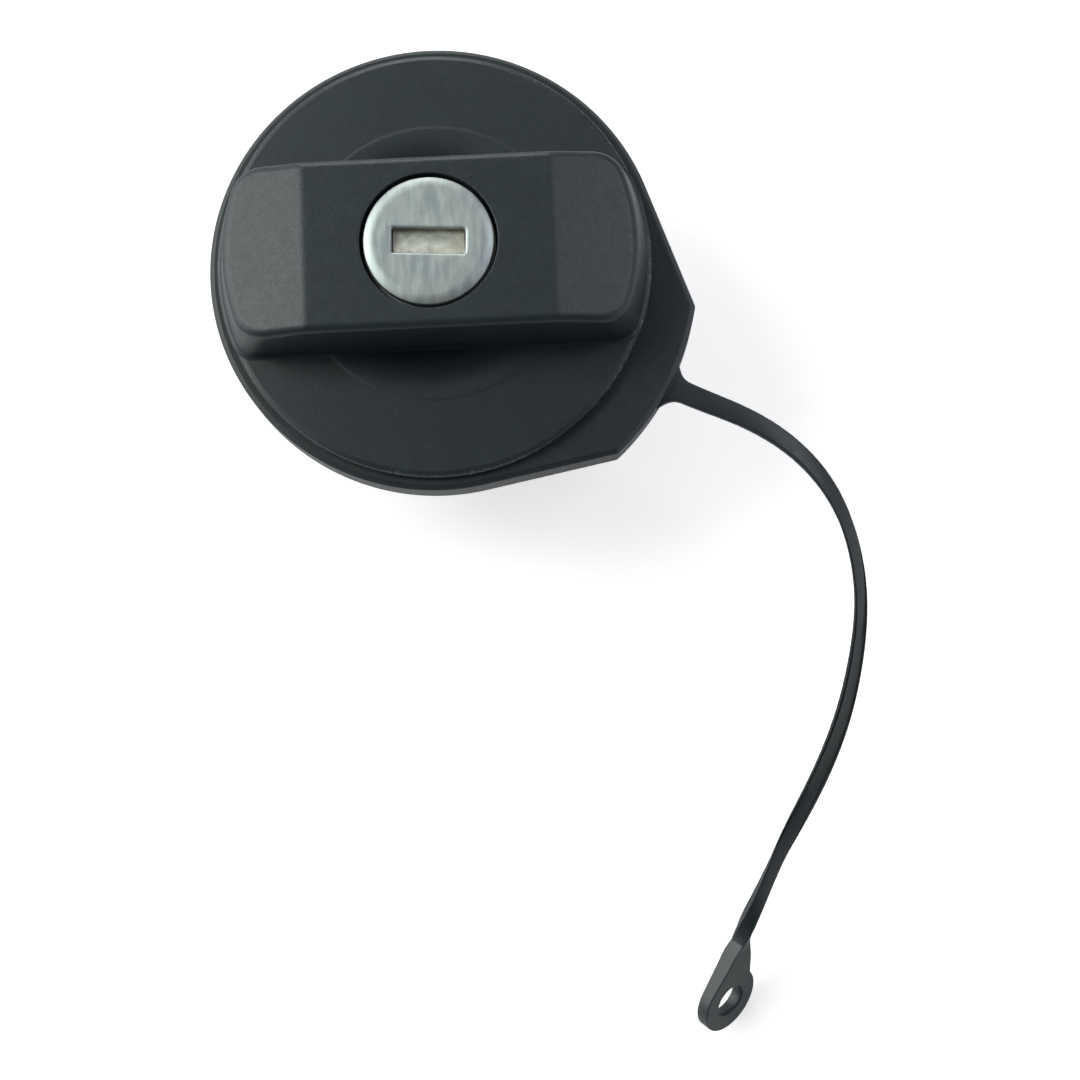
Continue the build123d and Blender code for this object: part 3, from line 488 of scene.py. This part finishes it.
def tab_outline():
    """Plate circle and tab arc joined by the lines that touch the circle, with outward normals.

    The tab's corners are arcs of radius corner_r whose centres lie corner_r inside both the
    tab arc and the line, so any small inset keeps the same centres.
    """
    plate_r, tab_r, corner_r = 41.1, 47.75, 1.2
    middle, half = radians(-30.2), radians(18.6)
    lean = acos(plate_r / tab_r)
    touch = half + lean
    across = plate_r - corner_r
    centre_r = tab_r - corner_r
    centre_angle = touch - acos(across / centre_r)
    cx, cy = centre_r * cos(centre_angle), centre_r * sin(centre_angle)
    tab = steps(0.0, centre_angle, 30)
    corner = steps(centre_angle, touch, 14)[1:]
    line = steps(sqrt(centre_r ** 2 - across ** 2), 0.0, 24)[1:]
    ring = steps(touch, pi, 130)[1:]
    out = np.array([cos(touch), sin(touch)])
    along = np.array([sin(touch), -cos(touch)])
    x = np.concatenate([tab_r * np.cos(tab), cx + corner_r * np.cos(corner),
                        plate_r * out[0] + along[0] * line, plate_r * np.cos(ring)])
    y = np.concatenate([tab_r * np.sin(tab), cy + corner_r * np.sin(corner),
                        plate_r * out[1] + along[1] * line, plate_r * np.sin(ring)])
    nx = np.concatenate([np.cos(tab), np.cos(corner), np.full(line.size, out[0]), np.cos(ring)])
    ny = np.concatenate([np.sin(tab), np.sin(corner), np.full(line.size, out[1]), np.sin(ring)])
    plan = np.stack([np.concatenate([x, x[-2:0:-1]]), np.concatenate([y, -y[-2:0:-1]])], axis=-1)
    normal = np.stack([np.concatenate([nx, nx[-2:0:-1]]), np.concatenate([ny, -ny[-2:0:-1]])], axis=-1)
    turned = np.array([[cos(middle), sin(middle)], [-sin(middle), cos(middle)]])
    return plan @ turned, normal @ turned


def ring_skin():
    """Tether plate as rows of its outline: deep skirt, bevelled rim, flat top, bore, hub, web."""
    plan, normal = tab_outline()
    direction = plan / np.linalg.norm(plan, axis=1, keepdims=True)
    skirt_h, spread, bevel = 7.2, 0.1, 0.8
    foot = plate_top - skirt_h
    rows = []

    def at(inset, z):
        rows.append(stacked((plan - normal * inset)[None], z))

    def circle(radius, z):
        rows.append(stacked((direction * radius)[None], z))

    def lean(z):
        return -spread * (plate_top - z) / skirt_h

    at(1.7, foot)
    at(lean(foot) + 0.35, foot)
    for a in steps(0.2, pi / 2, 5):
        at(lean(foot) + 0.3 * (1 - sin(a)), foot + 0.3 * (1 - cos(a)))
    at(lean(foot + 0.6), foot + 0.6)
    at(lean(plate_top - bevel - 0.4), plate_top - bevel - 0.4)
    corner = rounded([(lean(plate_top - bevel), plate_top - bevel - 0.3),
                      (lean(plate_top - bevel), plate_top - bevel),
                      (bevel, plate_top),
                      (bevel + 0.3, plate_top)], [0, 0.45, 0.35, 0])
    for inset, z in corner:
        at(inset, z)
    start = plan - normal * (bevel + 0.4)
    for share in steps(0.15, 0.85, 6):
        rows.append(stacked((start * (1 - share) + direction * 24.9 * share)[None], plate_top))
    for radius, z in ((24.9, plate_top), (24.6, plate_top - 0.3), (24.56, plate_top - 1.2),
                      (24.56, plate_top - 3.2), (26.5, plate_top - 3.2), (26.7, plate_top - 3.0),
                      (26.7, plate_top - 1.8)):
        circle(radius, z)
    at(1.9, plate_top - 1.8)
    at(1.7, plate_top - 2.0)
    return np.concatenate(rows)


corner_turn = steps(0.0, pi / 2, 6)
corner_signs = np.repeat(np.array([(1, 1), (-1, 1), (-1, -1), (1, -1)], float), 6, axis=0)
corner_arcs = np.concatenate([
    np.stack([np.cos(corner_turn + k * pi / 2), np.sin(corner_turn + k * pi / 2)], axis=-1) for k in range(4)])


def carried(centre, across, up, width, thickness, corner):
    """Closed tube of a rounded oblong section, given as arrays along a path.

    A point of a section is centre + across (sx (width/2 - corner) + corner cos a)
    + up (sy (thickness/2 - corner) + corner sin a), where sx and sy are a corner's signs.
    """
    size = np.stack([width / 2 - corner, thickness / 2 - corner], axis=-1)[:, None]
    plan = size * corner_signs + corner[:, None, None] * corner_arcs
    grid = centre[:, None] + across[:, None] * plan[..., :1] + up[:, None] * plan[..., 1:]
    first = np.broadcast_to(centre[:1, None], grid[:1].shape)
    last = np.broadcast_to(centre[-1:, None], grid[:1].shape)
    return np.concatenate([first, grid, last])


def rib(angle):
    """Stiffening rib under the tab, along a ray from the hub to the skirt."""
    reach = steps(25.5, 46.6, 8)[:, None]
    full = np.ones(8)
    centre = reach * np.array([cos(angle), sin(angle), 0.0]) + np.array([0, 0, plate_top - 2.0])
    across = np.broadcast_to([-sin(angle), cos(angle), 0.0], (8, 3))
    up = np.broadcast_to([0.0, 0.0, 1.0], (8, 3))
    return carried(centre, across, up, 1.4 * full, 2.0 * full, 0.15 * full)


ribs = [rib(radians(a)) for a in (-44.2, -30.2, -16.2)]
skin("tether_ring_skin", [ring_skin(), *ribs], "soft_plastic", "tether", ["tether_ring"])


# ------------------------------------------------------------------ strap and eyelet
strap_route = np.array([
    (41.2, -23.5, 37.0),
    (46.8, -26.3, 37.0),
    (53.9, -29.6, 36.8),
    (61.1, -34.1, 36.3),
    (67.0, -39.9, 35.5),
    (71.0, -46.4, 34.4),
    (73.5, -54.2, 33.0),
    (74.4, -63.0, 31.3),
    (73.3, -73.4, 29.0),
    (70.2, -85.2, 25.9),
    (64.7, -97.5, 22.2),
    (59.4, -107.1, 18.9),
    (54.2, -117.4, 15.6),
    (50.7, -125.0, 12.6),
    (47.9, -136.0, 6.6),
])
strap_t, strap_swell = 1.7, 0.7
strap_corner = 0.42
strap_rows = 420
strap_end = 0.945
strap_turns = [
    (0, 0), (0.1, 0), (0.2, 16), (0.3, 34), (0.42, 48), (0.5, 46), (0.7, 30), (0.872, 12),
    (0.922, -38), (1, -40.5)]
strap_widths = [
    (0, 4.1), (0.2, 3.35), (0.3, 3.2), (0.42, 3.35), (0.7, 3.5), (0.86, 3.1), (0.9, 3.05),
    (0.925, 2.5), (0.945, 2.2), (1, 2.1)]
neck_sides = ((7.32, 0.479), (5.56, 0.296))
eye_r, eye_hole, eye_t = 6.6, 3.2, 2.5
eye_neck = 14.4
eye_cut, eye_waist = -1.98, 1.9


def unit(vectors):
    """The same directions at length 1."""
    return vectors / np.linalg.norm(vectors, axis=-1, keepdims=True)


def strap_line(count):
    """Points, directions and shares of length along the smooth line through the route.

    Cubic pieces over the chord lengths u: the slopes m solve
    m[i-1]/h[i-1] + 2 (1/h[i-1] + 1/h[i]) m[i] + m[i+1]/h[i] = 3 (d[i-1]/h[i-1]^2 + d[i]/h[i]^2),
    with the end slopes given, and the points follow from the Hermite form.
    """
    d = np.diff(strap_route, axis=0)
    h = np.linalg.norm(d, axis=1)
    u = np.concatenate([[0.0], np.cumsum(h)])
    n = len(strap_route)
    k = np.arange(1, n - 1)
    system = np.eye(n)
    system[k, k - 1] = 1 / h[:-1]
    system[k, k] = 2 * (1 / h[:-1] + 1 / h[1:])
    system[k, k + 1] = 1 / h[1:]
    right = np.zeros((n, 3))
    right[0] = unit(np.array([0.89, -0.46, 0.0]))
    right[-1] = unit(np.array([-0.21, -0.85, -0.48]))
    right[1:-1] = 3 * (d[:-1] / h[:-1, None] ** 2 + d[1:] / h[1:, None] ** 2)
    m = np.linalg.solve(system, right)
    at = steps(0.0, u[-1], count)
    i = np.clip(np.searchsorted(u, at, side="right") - 1, 0, n - 2)
    t = ((at - u[i]) / h[i])[:, None]
    span = h[i][:, None]
    point = (
        (2 * t ** 3 - 3 * t ** 2 + 1) * strap_route[i] + (t ** 3 - 2 * t ** 2 + t) * span * m[i]
        + (3 * t ** 2 - 2 * t ** 3) * strap_route[i + 1] + (t ** 3 - t ** 2) * span * m[i + 1])
    slope = (
        (6 * t ** 2 - 6 * t) * strap_route[i] + (3 * t ** 2 - 4 * t + 1) * span * m[i]
        + (6 * t - 6 * t ** 2) * strap_route[i + 1] + (3 * t ** 2 - 2 * t) * span * m[i + 1])
    run = np.concatenate([[0.0], np.cumsum(np.linalg.norm(np.diff(point, axis=0), axis=1))])
    return point, unit(slope), run / run[-1], run[-1]


def eased(share, stops):
    """Value at a share from (share, value) stops, with smooth steps between them."""
    place, value = np.array(stops, float).T
    i = np.clip(np.searchsorted(place, share, side="right") - 1, 0, len(place) - 2)
    t = np.clip((share - place[i]) / (place[i + 1] - place[i]), 0, 1)
    slope = np.gradient(value, place)
    span = place[i + 1] - place[i]
    return (
        (2 * t ** 3 - 3 * t ** 2 + 1) * value[i] + (t ** 3 - 2 * t ** 2 + t) * span * slope[i]
        + (3 * t ** 2 - 2 * t ** 3) * value[i + 1] + (t ** 3 - t ** 2) * span * slope[i + 1])


def strap_frames(along, share):
    """Width and thickness directions of the strap, turned about its own line."""
    side = unit(np.cross([0.0, 0.0, 1.0], along))
    up = np.cross(along, side)
    turn = np.radians(eased(share, strap_turns))[:, None]
    face = up * np.cos(turn) + side * np.sin(turn)
    return np.cross(face, along), face


def strap_tube():
    """Strap from inside the tab's edge to inside the eyelet's neck, with a flared root."""
    point, along, share, length = strap_line(strap_rows)
    across, face = strap_frames(along, share)
    run = share * length
    width = eased(share, strap_widths) + 5.6 * np.clip(1 - run / 3.8, 0, 1) ** 2.6
    nicks = 0.03 * np.sin(run * 2.3) * np.sin(run * 0.71 + 1.0) + 0.02 * np.sin(run * 5.1 + np.sin(run))
    width = width + nicks * np.clip(run / 12, 0, 1)
    thick = eased(share, [
        (0, strap_t), (0.86, strap_t), (0.905, strap_t + strap_swell), (1, strap_t + strap_swell)])
    keep = share < strap_end
    corner = np.full(share.shape, strap_corner)
    return carried(point[keep], across[keep], face[keep], width[keep], thick[keep], corner[keep])


def eyelet():
    """Teardrop eyelet: rows go round its section, from the outer edge over the face to the hole.

    The outline is the circle about the hole or, where they stand further out, the two straight
    sides v = a + b u from the neck: the near one touches the circle, the far one cuts it and
    leaves a waist.  On a ray at angle t a side stands at a / (sin t - b cos t).  Points are u
    along the strap, v across and w through the plate; near the neck they turn over from the
    plate's own plane to the strap's frames at the same distance u.
    """
    point, along, share, length = strap_line(strap_rows)
    across, _ = strap_frames(along, share)
    angle = steps(-pi, pi, 289)[:-1]
    reach = []
    for base, lean in neck_sides:
        away = np.sin(np.abs(angle)) - lean * np.cos(angle)
        reach.append(base / np.maximum(away, 0.05))
    near = np.where(angle < eye_cut, reach[0], eye_r)
    gap = reach[1] - eye_r
    waist = eye_r + (gap + np.sqrt(gap ** 2 + 0.06)) / 2
    radius = np.where(angle > eye_waist, waist, near)
    radius = np.minimum(radius, eye_neck / np.maximum(-np.cos(angle), 0.3))
    half, edge, lip = eye_t / 2, 0.22, 0.3
    rows = []
    for a in steps(0.0, pi / 2, 6):
        rows.append((radius - edge * (1 - cos(a)), half - edge * (1 - sin(a))))
    for part in steps(0.0, 1.0, 12)[1:-1]:
        rows.append(((radius - edge) * (1 - part) + (eye_hole + lip) * part, half))
    for a in steps(pi / 2, 0.0, 5):
        rows.append((np.full(angle.shape, eye_hole + lip * (1 - cos(a))), half - lip * (1 - sin(a))))
    far = [(r, -z) for r, z in rows[::-1]]
    ray = np.stack([r for r, _ in rows + far])
    u = ray * np.cos(angle)
    v = ray * np.sin(angle)
    thick = 1 + 0.22 * np.clip((-u - 2.0) / 8.0, 0, 1) - 0.15 * np.clip((-u - 11.0) / 3.0, 0, 1)
    w = np.array([z for _, z in rows + far])[:, None] * thick
    run = length + np.minimum(u, 0.0)

    def at_run(values):
        return np.stack([np.interp(run, share * length, values[:, k]) for k in range(3)], axis=-1)

    side = np.cross(across, along)
    flat = point[-1] + along[-1] * u[..., None] + side[-1] * v[..., None] + across[-1] * w[..., None]
    bent = at_run(point) + unit(at_run(side)) * v[..., None] + unit(at_run(across)) * w[..., None]
    t = np.clip((-u - 8.5) / 4.5, 0, 1)[..., None]
    t = t * t * (3 - 2 * t)
    return flat * (1 - t) + bent * t


skin("tether_strap_skin", [strap_tube(), eyelet()], "soft_plastic", "tether", ["tether_strap"])


# ------------------------------------------------------------------ lock face
def slot_outline(half_l, half_w, corner_r):
    """Rounded oblong of the key slot with its outward normals."""
    cx, cy = half_l - corner_r, half_w - corner_r
    end = steps(0.0, cy, 7)
    turn = steps(0.0, pi / 2, 9)[1:]
    ray = steps(atan2(half_w, cx), pi / 2, 34)[1:-1]
    x = np.concatenate([np.full(7, half_l), cx + corner_r * np.cos(turn), half_w / np.tan(ray), [0.0]])
    y = np.concatenate([end, cy + corner_r * np.sin(turn), np.full(33, half_w)])
    nx = np.concatenate([np.ones(7), np.cos(turn), np.zeros(33)])
    ny = np.concatenate([np.zeros(7), np.sin(turn), np.ones(33)])
    return mirrored(x, y, nx, ny)


def lock_face_skin():
    """Pressed cap as rows round its section: skirt, rolled rim, flat face, slot turned down, back.

    The rolled rim falls with the square of the distance past the flat face, by `drop` over
    `roll`, and then turns down into the skirt.
    """
    slot, normal = slot_outline(6.45, 2.25, 0.5)
    turn = radians(-3.8)
    spin = np.array([[cos(turn), sin(turn)], [-sin(turn), cos(turn)]])
    slot, normal = slot @ spin + (0.0, -0.12), normal @ spin
    ray = unit(slot)
    top, roll, drop, bend = face_top, 2.0, 0.42, 0.3
    rows = []

    def ring(r, z):
        rows.append(stacked((ray * r)[None], z))

    ring(face_r - 0.5, 54.2)
    ring(face_r, 54.2)
    for z in (54.6, 55.0, top - drop - bend - 0.1):
        ring(face_r, z)
    for a in steps(0.0, 0.32 * pi, 7):
        ring(face_r - bend * (1 - cos(a)), top - drop - bend * (1 - sin(a)))
    outer = face_r - bend * (1 - cos(0.32 * pi))
    height = top - drop - bend * (1 - sin(0.32 * pi))
    for share in steps(1.0, 0.0, 14)[1:]:
        ring(face_r - roll + (outer - face_r + roll) * share, top - (top - height) * share ** 2)
    rim = ray * (face_r - roll)
    press, sink = 0.62, 0.28
    for share in steps(0.0, 1.0, 14)[1:]:
        rows.append(stacked((rim * (1 - share) + (slot + normal * press) * share)[None], top))
    for a in steps(0.0, pi / 2, 9)[1:]:
        rows.append(stacked((slot + normal * press * (1 - sin(a)) ** 1.15)[None], top - sink * (1 - cos(a))))
    rows.append(stacked(slot[None], top - 0.85))
    rows.append(stacked((slot + normal * 0.25)[None], top - 0.85))
    rows.append(stacked((slot + normal * 0.7)[None], top - 0.6))
    ring(face_r - 2.2, top - 0.45)
    ring(face_r - 0.6, top - drop - 0.5)
    return np.concatenate(rows)


skin("lock_face_skin", [lock_face_skin()], "steel_face", "rotor", ["lock_face"])


# ------------------------------------------------------------------ floor, light and camera
def floor_finish():
    """Pale matt floor that glows a little for the camera, so the backdrop comes out white."""
    finish = Finish("floor_white", (0.86, 0.86, 0.86), 0.9, specular=0.1)
    path = finish.node("ShaderNodeLightPath")
    glow = finish.math("MULTIPLY", path.outputs["Is Camera Ray"], 0.5)
    finish.shader.inputs["Emission Color"].default_value = (1.0, 1.0, 1.0, 1.0)
    finish.link(glow, finish.shader.inputs["Emission Strength"])
    return finish.material


def flat_plate(name, half):
    """Square plate at the floor's height, of four quads."""
    line = np.linspace(-half, half, 3)
    x, y = np.meshgrid(line, line)
    points = np.stack([x.ravel(), y.ravel(), np.zeros(9)], axis=-1)
    corner = np.array([0, 1, 3, 4])[:, None]
    faces = np.concatenate([corner, corner + 1, corner + 4, corner + 3], axis=1)
    mesh = bpy.data.meshes.new(name)
    mesh.from_pydata(points.tolist(), [], faces.tolist())
    made = bpy.data.objects.new(name, mesh)
    bpy.context.scene.collection.objects.link(made)
    return made


floor = flat_plate("floor", 3.0)
floor.data.materials.append(floor_finish())


def toward(azimuth, height):
    """Unit vector at an azimuth from the grip bar and a height above the floor, in degrees."""
    azimuth, height = radians(azimuth), radians(height)
    return Vector((cos(height) * cos(azimuth), cos(height) * sin(azimuth), sin(height)))


def round_lamp(name, azimuth, height, width, glow, tint=(1.0, 1.0, 1.0)):
    """Round soft lamp a metre from the cap; its energy is four times its area times its glow."""
    lamp = bpy.data.lights.new(name, "AREA")
    lamp.shape = "DISK"
    lamp.size = width
    lamp.energy = pi * width ** 2 * glow
    lamp.color = tint
    made = bpy.data.objects.new(name, lamp)
    direction = toward(azimuth, height)
    made.location = direction + Vector((0.0, 0.0, 0.04))
    made.rotation_euler = direction.to_track_quat("Z", "Y").to_euler()
    bpy.context.scene.collection.objects.link(made)
    return made


round_lamp("key_left", 156, 50, 0.48, 4.9, (0.89, 0.985, 0.93))
round_lamp("key_back", 96, 26, 0.48, 4.8)
round_lamp("fill_right", 24, 50, 0.48, 3.0, (0.86, 0.87, 1.0))


def bright_wall(tree, direction, inner, outer, glow):
    """Soft patch of the room: full glow within an angle of a direction, fading to an outer one."""
    coords = tree.nodes.new("ShaderNodeTexCoord")
    facing = tree.nodes.new("ShaderNodeVectorMath")
    facing.operation = "DOT_PRODUCT"
    facing.inputs[1].default_value = direction
    tree.links.new(coords.outputs["Generated"], facing.inputs[0])
    fade = tree.nodes.new("ShaderNodeMapRange")
    fade.interpolation_type = "SMOOTHSTEP"
    tree.links.new(facing.outputs["Value"], fade.inputs["Value"])
    fade.inputs["From Min"].default_value = cos(radians(outer))
    fade.inputs["From Max"].default_value = cos(radians(inner))
    fade.inputs["To Max"].default_value = glow
    return fade.outputs["Result"]


dim_room = 0.10
world = bpy.data.worlds.new("room")
world.use_nodes = True
bpy.context.scene.world = world
tree = world.node_tree
back = tree.nodes["Background"]
back.inputs["Color"].default_value = (1.0, 1.0, 1.0, 1.0)
total = None
for patch in (
    bright_wall(tree, toward(168, 14), 10, 48, 3.2),
    bright_wall(tree, toward(348, 4), 10, 48, 0.95),
):
    adding = tree.nodes.new("ShaderNodeMath")
    adding.inputs[0].default_value = dim_room
    if total is not None:
        tree.links.new(total, adding.inputs[0])
    tree.links.new(patch, adding.inputs[1])
    total = adding.outputs[0]
tree.links.new(total, back.inputs["Strength"])

eye = bpy.data.cameras.new("view")
eye.lens = 60.0
eye.sensor_width = 36.0
eye.sensor_fit = "HORIZONTAL"
camera = bpy.data.objects.new("view", eye)
camera.location = (0.019841, -0.091000, 0.357437)
camera.rotation_euler = (radians(7.147776), radians(0.864198), radians(-2.527185))
bpy.context.scene.collection.objects.link(camera)
bpy.context.scene.camera = camera
bpy.context.scene.view_settings.view_transform = "Standard"
